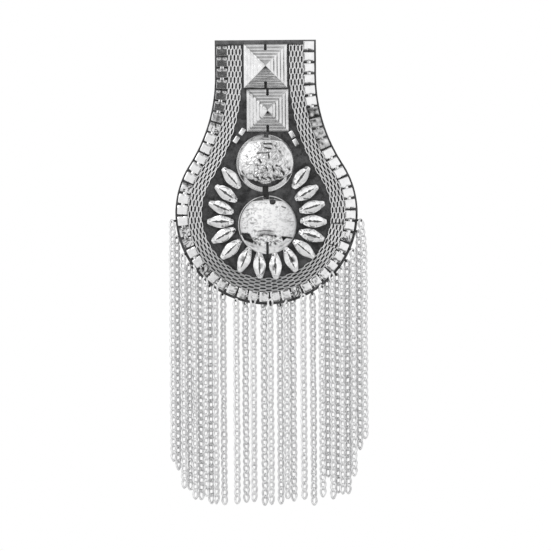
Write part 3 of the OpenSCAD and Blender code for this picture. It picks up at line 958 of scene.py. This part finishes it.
class LowerRoundStud(RoundStud):
    """Its cap is pressed in at the lower left and the lower right, with a fold between them."""

    def relief(self, px, pz, smooth):
        below = clamp((-5.2 - pz) / 1.2) * clamp((8.5 - abs(px)) / 2)
        strength = smooth * (0.18 + 0.16 * clamp(-px / 8) + 0.5 * below)
        dents = 0.2 * hammer(px, pz, self.seed, 2.1) + 0.14 * hammer(px, pz, self.seed + 5, 1.0)
        creases = worm(px, pz * 1.5, self.seed + 3, 1.7, 0.3)
        creases = strength * max(creases, 0.6 * below * worm(px, pz, self.seed + 9, 1.3, 0.3))
        knocks = smooth * groove(px, pz, self.marks)
        left = clamp(within(px, pz, LEFT_DENT) / 0.5)
        right = clamp(within(px, pz, RIGHT_DENT) / 0.3)
        right = max(right, bell(way_off(px, pz, (8.0, -6.6, 13.2, -7.3)), 0.4))
        away = pz + 4.3 + 0.03 * (px + 1) ** 2
        fold = bell(px + 0.8, 4.6, 6)
        band = fold * bell(away, 0.8)
        sides = fold * (bell(away - 1.15, 0.4) + bell(away + 1.15, 0.45))
        # Darkness: tarnish and painted shade in the creases and knocks, painted shadow in the two pressed-in
        # places and along the lower edge of the left one, painted shade on and beside the fold, and more
        # towards the sides
        dark = creases + knocks + 0.84 * left + bell(way_off(px, pz, (-15.5, -6.2, -8.0, -9.5)), 0.5) + right
        dark += 0.7 * sides + 0.42 * band + 0.1 * clamp((abs(px) - 6) / 5)
        low = strength * dents + 0.12 * creases + 0.3 * knocks
        return low + 0.8 * left + 0.8 * right + 0.25 * sides - 0.2 * band, dark

    def rim_dark(self, angle):
        return 0.15 + 0.3 * clamp(3 * uneven(angle * 3, 1.0, 5.0))

    def flange_dark(self, angle, reach):
        # Painted shadow in the channel round the top and sides of the cap; random darker marks on the flange
        # at the foot
        if sin(angle) > -0.35:
            return 0.9
        return 0.3 * clamp(3 * uneven(angle * 5, reach, 8.0))


# Knocks in the caps, from the studs' middles: two ends, half a width and a strength
UPPER_MARKS = (
    (-0.7, 10.4, 3.6, 10.2, 0.45, 1.1),
    (0.0, 8.2, 3.2, 7.6, 0.5, 1.2),
    (-4.2, 5.2, 2.4, 5.6, 0.4, 0.75),
    (1.9, 4.6, 2.1, 2.6, 0.55, 1.1),
    (-3.2, 1.9, -2.2, 0.1, 0.6, 1.1),
    (-5.0, -1.6, -0.2, -1.2, 0.35, 0.4),
    (-10.4, -0.6, -6.2, -1.2, 0.3, 0.35),
    (-10.0, 4.6, -9.6, 2.6, 0.35, 0.3),
    (7.3, 6.6, 8.2, 5.6, 0.45, 0.75),
    (5.4, 9.4, 6.0, 8.8, 0.4, 0.6),
    (3.9, -1.9, 4.6, -4.1, 0.5, 1.0),
    (0.4, -2.3, 1.2, -4.1, 0.45, 0.9),
    (5.6, -1.4, 7.6, -2.0, 0.4, 0.7),
    (8.9, -4.0, 9.8, -6.3, 0.45, 0.9),
    (12.2, -2.4, 13.6, -4.0, 0.4, 0.5),
    (10.8, -7.0, 13.4, -4.4, 0.4, 0.5),
    (-1.8, -7.8, 0.6, -9.0, 0.45, 0.95),
    (1.8, -7.6, 3.2, -8.4, 0.4, 0.9),
    (-4.2, -7.4, -3.4, -9.0, 0.35, 0.8),
    (4.6, -8.2, 5.2, -9.2, 0.35, 0.8),
    (-12.4, -4.6, -10.6, -7.4, 0.5, 0.7),
    (-3.4, -10.2, -1.0, -10.8, 0.35, 0.5),
    (6.2, -7.6, 10.2, -8.2, 0.5, 0.9),
)
LOWER_MARKS = (
    (7.9, 9.8, 9.9, 9.0, 0.35, 0.85),
    (4.9, 9.5, 5.4, 9.5, 0.45, 0.6),
    (-3.9, 12.2, -2.9, 12.0, 0.4, 0.45),
    (-1.4, 12.0, -0.4, 11.4, 0.35, 0.35),
    (4.2, -6.0, 4.4, -6.4, 0.6, 1.0),
    (-6.5, -10.2, -6.2, -10.7, 0.55, 0.75),
    (-4.3, -10.9, -4.1, -11.4, 0.55, 0.85),
    (4.0, -10.0, 4.4, -10.4, 0.45, 0.6),
    (-6.8, -3.0, -6.2, -3.2, 0.45, 0.5),
    (-9.2, 1.0, -5.6, 0.2, 0.4, 0.22),
    (-13.4, 3.4, -10.6, 4.4, 0.35, 0.25),
    (-11.6, 7.6, -9.6, 8.6, 0.35, 0.25),
    (11.0, 1.9, 15.0, 1.5, 0.2, 0.45),
)


def build_round_studs():
    upper = UpperRoundStud("upper", 4.0, FLANGE_TOP, UPPER_FOOT, UPPER_MARKS)
    piece = upper.build(hammered_metal)
    upper.open_foot(piece)
    add_notch(piece, upper.x + 1.3, upper.z, 1, upper.d, 1.9, THROUGH_FLANGE, 1.3)
    add_notch(piece, upper.x, upper.z, -1, upper.d, FOOT_RIM_W + 0.5, THROUGH_FLANGE, WIDE_NOTCH_W)
    lower = LowerRoundStud("lower", 31.0, FLANGE_TOP - 0.3, LOWER_FOOT, LOWER_MARKS)
    piece = lower.build(satin_metal)
    cut(piece, lower.x, lower.z, CHIP, THROUGH)
    add_notch(piece, lower.x - 0.5, lower.z, 1, lower.d, 2.1, THROUGH_FLANGE, WIDE_NOTCH_W)
    add_notch(piece, lower.x, lower.z, -1, lower.d, 6.6, THROUGH)


# Navettes

def navette_axis(node):
    """Middle of a navette, and the direction of its long axis, from the spread of its points."""
    x0, z0 = node_middle(node)[:2]
    points = [(p.x - x0, p.z - z0) for p in node_points(node)]
    return x0, z0, atan2(2 * sum(x * z for x, z in points), sum(x * x - z * z for x, z in points)) / 2


def navette_half(along):
    """Half the width of a navette at a way along it: a pointed oval with blunt ends."""
    share = abs(along) / (NAVETTE_L / 2)
    half = NAVETTE_END_W / 2 + (NAVETTE_W - NAVETTE_END_W) / 2 * (1 - share**1.6)
    rest = max(0.0, (abs(along) - NAVETTE_L / 2 + NAVETTE_TIP_L) / NAVETTE_TIP_L)
    return half * sqrt(1 - 0.35 * rest**2)


# Navettes with a patch of painted shade beside the ridge, at the foot of the fan
SHADE_PATCHED = (7, 8, 9, 10)


def build_navette(i, dome_x, dome_z):
    """A folded oval with a flattened lens along its ridge, hips at both ends and the marks of the press."""
    node = f"navette_{i:02d}"
    x0, z0, turn = navette_axis(node)
    if (x0 - dome_x) * cos(turn) + (z0 - dome_z) * sin(turn) < 0:
        turn += pi
    c = cos(turn)
    n = sin(turn)
    rng = random.Random(70 + i)
    crease_at = rng.uniform(-1.5, 3.0)
    crease = rng.choice((0.0, 0.15, 0.3, 0.4))
    patch_shade = 1.0 if i in SHADE_PATCHED else rng.choice((0.0, 0.0, 0.5))
    patch_at = rng.uniform(-0.5, 2.0)
    patch_side = rng.choice((-0.9, 0.9))
    flat_l = rng.uniform(4.2, 5.8)
    flat_w = rng.uniform(0.36, 0.52)
    rows = 56
    under = FACE_Y - NAVETTE_LIFT
    rings = []
    darks = []
    for row in range(rows + 1):
        along = (2 * row / rows - 1) * NAVETTE_L / 2
        half = navette_half(along)
        ridge = NAVETTE_H - HIP_DROP * max(0.0, (abs(along) - NAVETTE_L / 2 + HIP_L) / HIP_L)
        middle = 0.2 * uneven(along * 0.35, i * 5.3, 0.0)
        flat = 0.14 + flat_w * max(0.0, 1 - (along / flat_l) ** 2)
        flat = min(flat * (1 + 0.9 * uneven(along * 0.7, i * 2.3, 4.0)), half * 0.5)
        ring = []
        for side in (-1, 1):
            inner = side * middle + flat
            streak = 0.5 + uneven(along * 0.4, side * 3.7, i * 1.9)
            patch_dark = patch_shade * (0.6 + 0.8 * streak) * bell(along - patch_at, 1.6, 4)
            face = []
            for across in (
                half, half - 0.15, inner + (half - inner) * 0.66, inner + (half - inner) * 0.33,
                inner + 0.1, inner, inner - 0.15 * flat,
            ):
                fall = clamp((across - inner) / (half - inner))
                # Painted shade: grey towards the outer part of each face, and the patch beside the ridge
                dark = 0.32 * streak * clamp((fall - 0.3) / 0.7)
                dark += patch_dark * bell(side * across - patch_side, 0.9)
                top = ridge - (ridge - NAVETTE_EDGE) * fall - 0.06 * (across == half)
                top -= crease * bell(along - crease_at - 0.35 * across, 0.5) * min(fall, 1 - fall)
                top += 0.05 * clamp(4 * fall) * uneven(along * 0.45, across * 0.45 * side, i * 3.1)
                face.append((side * across, top, clamp(dark)))
            ring += face if side < 0 else [(middle, ridge, 0.0)] + face[::-1]
        ring += [(half, 0.0, 0.0), (-half, 0.0, 0.0)]
        rings.append([(x0 + along * c - b * n, under - h, z0 + along * n + b * c) for b, h, dark in ring])
        darks += [dark for b, h, dark in ring]
    batch = Batch()
    batch.add(*loft(rings))
    post = [(x0 + SHANK_D / 2 * cos(k * pi / 8), z0 + SHANK_D / 2 * sin(k * pi / 8)) for k in range(16)]
    batch.add(*loft([[(x, under - h, z) for x, z in post] for h in (-NAVETTE_LIFT, 0.3)]))
    darks += [0.0] * (len(batch.verts) - len(darks))
    make_piece(f"navette_stud_{i:02d}", batch, navette_metal, [node], darks)


# Tube beads

# Place, turn in degrees and strength of the painted shade on the right of each bead
BEADS = (
    ("left_upper", 56, 0.2),
    ("left_lower", 56, 0.3),
    ("right_upper", 120, 0.45),
    ("right_lower", 120, 0.7),
)


def build_bead(place, degrees, painted_shade):
    """A square tube with rounded edges, with painted shade on its right."""
    node = f"bead_{place}"
    x0, z0 = node_middle(node)[:2]
    c = cos(radians(degrees))
    n = sin(radians(degrees))
    y0 = FACE_Y - BEAD_W / 2
    roll = radians(7)
    outer = [
        (a * cos(roll) - b * sin(roll), a * sin(roll) + b * cos(roll))
        for a, b in rounded_square(BEAD_W / 2, 0.5, per_side=4, per_corner=4)
    ]
    bore_r = BEAD_BORE_D / 2
    bore = [(bore_r * a / hypot(a, b), bore_r * b / hypot(a, b)) for a, b in outer]
    profile = (
        (bore, 1.0, -1.0), (outer, 0.82, -1.0), (outer, 0.95, -0.95), (outer, 1.0, -0.82),
        (outer, 1.0, 0.82), (outer, 0.95, 0.95), (outer, 0.82, 1.0), (bore, 1.0, 1.0),
    )
    rings = []
    darks = []
    for shape, size, at in profile:
        along = at * BEAD_L / 2
        sized = [(a * size, b * size) for a, b in shape]
        rings.append([(x0 + along * c - a * n, y0 + b, z0 + along * n + a * c) for a, b in sized])
        # Painted shade, darker towards the right of the bead
        darks += [painted_shade * clamp(0.4 + (x - x0) / 1.6) for x, y, z in rings[-1]]
    make_piece(f"tube_{node}", loft(rings, closed=True), bead_metal, [node], darks)


# Chain fringe

def link_rings():
    """Rings of one curb link: an oval of wire twisted so that its ends pass through its neighbours."""
    half_w = (LINK_W - LINK_WIRE_D) / 2
    half_l = (LINK_PITCH + LINK_WIRE_D) / 2
    segments = 16
    twist = radians(44) / 1.95

    def centre(t):
        x = half_w * copysign(abs(cos(t)) ** 0.85, cos(t))
        z = half_l * sin(t)
        return Vector((x * cos(twist * z), x * sin(twist * z), z))

    rings = []
    for t in [2 * pi * (i + 0.5) / segments for i in range(segments)]:
        p = centre(t)
        tangent = (centre(t + 0.01) - centre(t - 0.01)).normalized()
        up = Vector((-sin(twist * p.z), cos(twist * p.z), 0.0))
        rings.append(ring_round(p, tangent, up, LINK_WIRE_D / 2, 6))
    return rings


LINK = link_rings()


def chain_route(node):
    """The three points of a chain's middle line, from the top down."""
    points = node_points(node)
    route = []
    for level in sorted({round(p.z, 2) for p in points}, reverse=True):
        ring = [p for p in points if abs(p.z - level) < 0.02]
        xs = [p.x for p in ring]
        ys = [p.y for p in ring]
        route.append(Vector(((min(xs) + max(xs)) / 2, (min(ys) + max(ys)) / 2, level)))
    return route


def route_place(route, way):
    """Point and direction after a way down a route, turning softly round its bend."""
    def at(s):
        s = max(0.0, s)
        for a, b in zip(route, route[1:]):
            span = (b - a).length
            if s <= span or b is route[-1]:
                return a + (b - a) * (s / span)
            s -= span

    soft = 3.0
    before = at(way - soft)
    after = at(way + soft)
    middle = (before + after + 2 * at(way)) / 4 if way > soft else at(way)
    return middle, (after - before).normalized()


def build_chain(i):
    """Links down a chain's route; gives back the middle of the top one."""
    node = f"chain_{i:02d}"
    top = None
    rng = random.Random(400 + i)
    route = chain_route(node)
    length = sum((b - a).length for a, b in zip(route, route[1:]))
    front = route[0].y < -BOARD_T / 2
    links = floor((length - LINK_WIRE_D) / LINK_PITCH)
    first = length - LINK_WIRE_D - (links - 0.5) * LINK_PITCH
    yaw_base = rng.uniform(-0.4, 0.4)
    yaw_swing = rng.uniform(0.1, 0.35)
    yaw_wave = rng.uniform(40, 90)
    yaw_phase = rng.uniform(0, 6.3)
    hand = 1 if rng.random() < 0.5 else -1
    batch = Batch()
    faces = loft(LINK, closed=True)[1]
    for k in range(-1, links):
        way = first + k * LINK_PITCH
        p, down = route_place(route, way)
        if way < 0:
            p = route[0] - (route[1] - route[0]).normalized() * -way
        if k < 0:
            p.y += -0.35 if front else 0.35
        yaw = yaw_base + yaw_swing * sin(2 * pi * way / yaw_wave + yaw_phase) + rng.uniform(-0.2, 0.2)
        tilt = atan2(down.x, -down.z) + rng.uniform(-0.06, 0.06)
        p = p + Vector((rng.uniform(-0.12, 0.12), rng.uniform(-0.06, 0.06), 0.0))
        top = top or p
        c = cos(tilt)
        n = sin(tilt)
        verts = []
        for q in [q for ring in LINK for q in ring]:
            x = q.x * cos(yaw) - q.y * hand * sin(yaw)
            y = q.x * sin(yaw) + q.y * hand * cos(yaw)
            verts.append((p.x + x * c - q.z * n, p.y + y, p.z + x * n + q.z * c))
        batch.add(verts, faces)
    make_piece(f"curb_chain_{i:02d}", batch, chain_metal, [node])
    return top


# Sewing threads

# Long stitches across the net on the right: middle, direction and length
LONG_STITCHES = ((38.9, -85.1, 0.0, 10.0), (36.4, -96.9, -0.23, 8.4))


def build_threads(chain_tops):
    """Black stitches in the studs' notches, across the tile strips' gaps, at the chains and on the back."""
    batch = Batch()
    rng = random.Random(21)

    def stitch(x, z, direction, length, height, radius=0.2, y=FACE_Y, out=-1):
        path = []
        for t in (0.0, 0.12, 0.3, 0.5, 0.7, 0.88, 1.0):
            rise = height * sin(pi * t) ** 0.5 if 0 < t < 1 else -0.5
            along = (t - 0.5) * length
            path.append((x + along * cos(direction), y + out * rise, z + along * sin(direction)))
        batch.add(*tube(path, [radius] * len(path), 6))

    for start, tiles, first_l in tile_starts()[1:]:
        s = start - STRIP_GAP / 2
        x, z, heading = band_place(s, TILE_MID)
        stitch(x, z, heading, STRIP_GAP + 1.6, TILE_T + 0.05)
        stitch(x, z, heading + rng.uniform(-0.4, 0.4), 3.5, 0.25, y=0.0, out=1)
    for node in ("pyramid_upper", "pyramid_lower", "dome_upper", "dome_lower"):
        low, high = node_box(node)
        x = node_middle(node)[0]
        inset = 1.2 if node.startswith("pyramid") else 0.9
        for z, side in ((high.z, 1), (low.z, -1)):
            for offset in (-0.24, 0.24):
                stitch(x + offset, z - side * inset, pi / 2, 2.3, 0.5, radius=0.28)
            stitch(x, z, pi / 2, 4.5, 0.25, y=0.0, out=1)
    for x, z, direction, length in LONG_STITCHES:
        stitch(x, z, direction, length, 1.15, radius=0.24)
    middle = node_middle("dome_upper")[0]
    foot = node_box("dome_upper")[0].z
    for k in range(6):
        x = middle + (k - 2.5) * 0.42 + rng.uniform(-0.1, 0.1)
        stitch(x, foot + 0.3, pi / 2 + rng.uniform(-0.05, 0.05), 6.2, 0.75, radius=0.26)
    for p in chain_tops:
        z = p.z + LINK_PITCH / 2 - LOBE_Z
        far = hypot(p.x, z)
        turn = atan2(z, p.x)
        end = max(far + 0.5, LOBE_R + rng.uniform(0.4, 1.3))
        y = FACE_Y - 0.1 if p.y < -BOARD_T / 2 else 0.15
        for offset in (-0.3, 0.3):
            strand = []
            for reach, depth in ((LOBE_R - 1.3, y), (LOBE_R - 0.7, y), (LOBE_R + 0.1, y), (end, p.y)):
                side = turn + offset / reach
                strand.append((reach * cos(side), depth, LOBE_Z + reach * sin(side)))
            if far > LOBE_R - 0.8 or rng.random() < 0.5:
                batch.add(*tube(strand, [0.3] * len(strand), 6))
    make_piece("sewing_threads", batch, black_thread)


build_board()
build_hem()
build_tiles()
build_net()
for row in SQUARE_STUDS:
    build_square_stud(*row)
build_round_studs()
dome_x, dome_z = node_middle("dome_lower")[:2]
for i in range(1, 17):
    build_navette(i, dome_x, dome_z)
for row in BEADS:
    build_bead(*row)
build_threads([build_chain(i) for i in range(1, 30)])

for material_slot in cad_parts["brooch_pin"].material_slots:
    material_slot.material = pin_metal


# Floor

def build_floor():
    """A pale floor under the part, below the camera's view."""
    low = -0.315
    half_w = 1.5
    front = -0.16
    back = 0.55
    corners = [(-half_w, front, low), (half_w, front, low), (half_w, back, low), (-half_w, back, low)]
    mesh = bpy.data.meshes.new("floor")
    mesh.from_pydata(corners, [], [(0, 1, 2, 3)])
    n = Surface("pale_floor")
    mesh.materials.append(n.finished({
        "Base Color": n.tinted(n.ramp(n.noise(0.01), 0.86, 0.9)),
        "Roughness": 0.8,
    }))
    new_object("floor", mesh)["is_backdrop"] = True


build_floor()


# Studio: a white ground for the camera, softboxes and dark flags for the reflections

# Softboxes and flags, one row each: azimuth from and to, height from and to, softness, brightness
PANELS = (
    (-115, -9, -50, 90, 5, 0.63),
    (-9, 95, -14, 14, 3, 0.68),
    (-6.5, 6.5, -7.5, 7.5, 1.5, -0.9),
    (-9, 22, 14, 52, 4, 0.12),
    (22, 95, 14, 52, 5, 0.62),
    (-9, 180, 55, 90, 4, 0.72),
    (-180, 180, -90, -58, 4, 0.65),
    (22, 95, -50, -14, 5, 0.6),
    (-9, 22, -58, -14, 4, -0.12),
)
WHITE = (1.0, 1.0, 1.0, 1.0)


def build_world():
    world = bpy.data.worlds.new("studio")
    bpy.context.scene.world = world
    world.use_nodes = True
    world.node_tree.nodes.clear()
    n = Nodes(world.node_tree)

    def window(value, low, high, soft):
        """1 between low and high, and softly down to 0 outside."""
        rise = n.ramp(value, 0.0, 1.0, low - soft, low + soft, interpolation_type="SMOOTHSTEP")
        fall = n.ramp(value, 0.0, 1.0, high + soft, high - soft, interpolation_type="SMOOTHSTEP")
        return n.math("MULTIPLY", rise, fall)

    coords = n.add("ShaderNodeTexCoord", output="Generated")
    x, y, z = [n.add("ShaderNodeSeparateXYZ", {0: coords}, axis) for axis in "XYZ"]
    azimuth = n.math("MULTIPLY", n.math("ARCTAN2", x, n.math("MULTIPLY", y, -1.0)), 180 / pi)
    height = n.math("MULTIPLY", n.math("ARCSINE", z), 180 / pi)
    total = 0.3
    for left, right, low, high, soft, bright in PANELS:
        mask = n.math("MULTIPLY", window(azimuth, left, right, soft), window(height, low, high, soft))
        total = n.math("ADD", total, n.math("MULTIPLY", mask, bright))
    cloud = n.add("ShaderNodeTexNoise", {"Vector": coords, "Scale": 2.2, "Detail": 1.0}, "Fac")
    total = n.math("MULTIPLY", total, n.math("ADD", n.math("MULTIPLY", cloud, 0.3), 0.85))
    studio = n.add("ShaderNodeBackground", {"Color": WHITE, "Strength": n.math("MAXIMUM", total, 0.02)})
    ground = n.add("ShaderNodeBackground", {"Color": WHITE, "Strength": 1.0})
    seen = n.add("ShaderNodeLightPath", output="Is Camera Ray")
    mix = n.add("ShaderNodeMixShader", {"Fac": seen, 1: studio, 2: ground})
    n.add("ShaderNodeOutputWorld", {"Surface": mix})


build_world()


# Light, and a camera straight on from far away

def add_softbox(name, place, target, size, power):
    light = bpy.data.lights.new(name, "AREA")
    light.size = size
    light.energy = power
    light.specular_factor = 0.35
    lamp = new_object(name, light)
    lamp.location = place
    lamp.rotation_euler = (Vector(target) - Vector(place)).to_track_quat("-Z", "Y").to_euler()


CAMERA_WAY = 2.5
PHOTO_PIXELS = 551
MM_PER_PIXEL = 0.54
SENSOR_W = 36.0


def add_camera(x, z, roll):
    camera = new_object("camera", bpy.data.cameras.new("camera"))
    camera.data.sensor_width = SENSOR_W
    camera.data.lens = SENSOR_W * CAMERA_WAY / (PHOTO_PIXELS * MM_PER_PIXEL * MM)
    camera.data.clip_end = 50.0
    camera.location = (x, -CAMERA_WAY, z)
    camera.rotation_euler = (pi / 2, roll, 0.0)
    bpy.context.scene.camera = camera


add_softbox("key_softbox", (-1.1, -1.2, 0.75), (0.0, 0.0, -0.08), 1.2, 5.5)
add_camera(0.0046, -0.1131, radians(0.42))
bpy.context.scene.view_settings.view_transform = "Standard"
bpy.context.scene.view_settings.look = "None"

visual_bounds = [list(corner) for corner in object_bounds()]
{"cad": cad_bounds, "visual": visual_bounds}
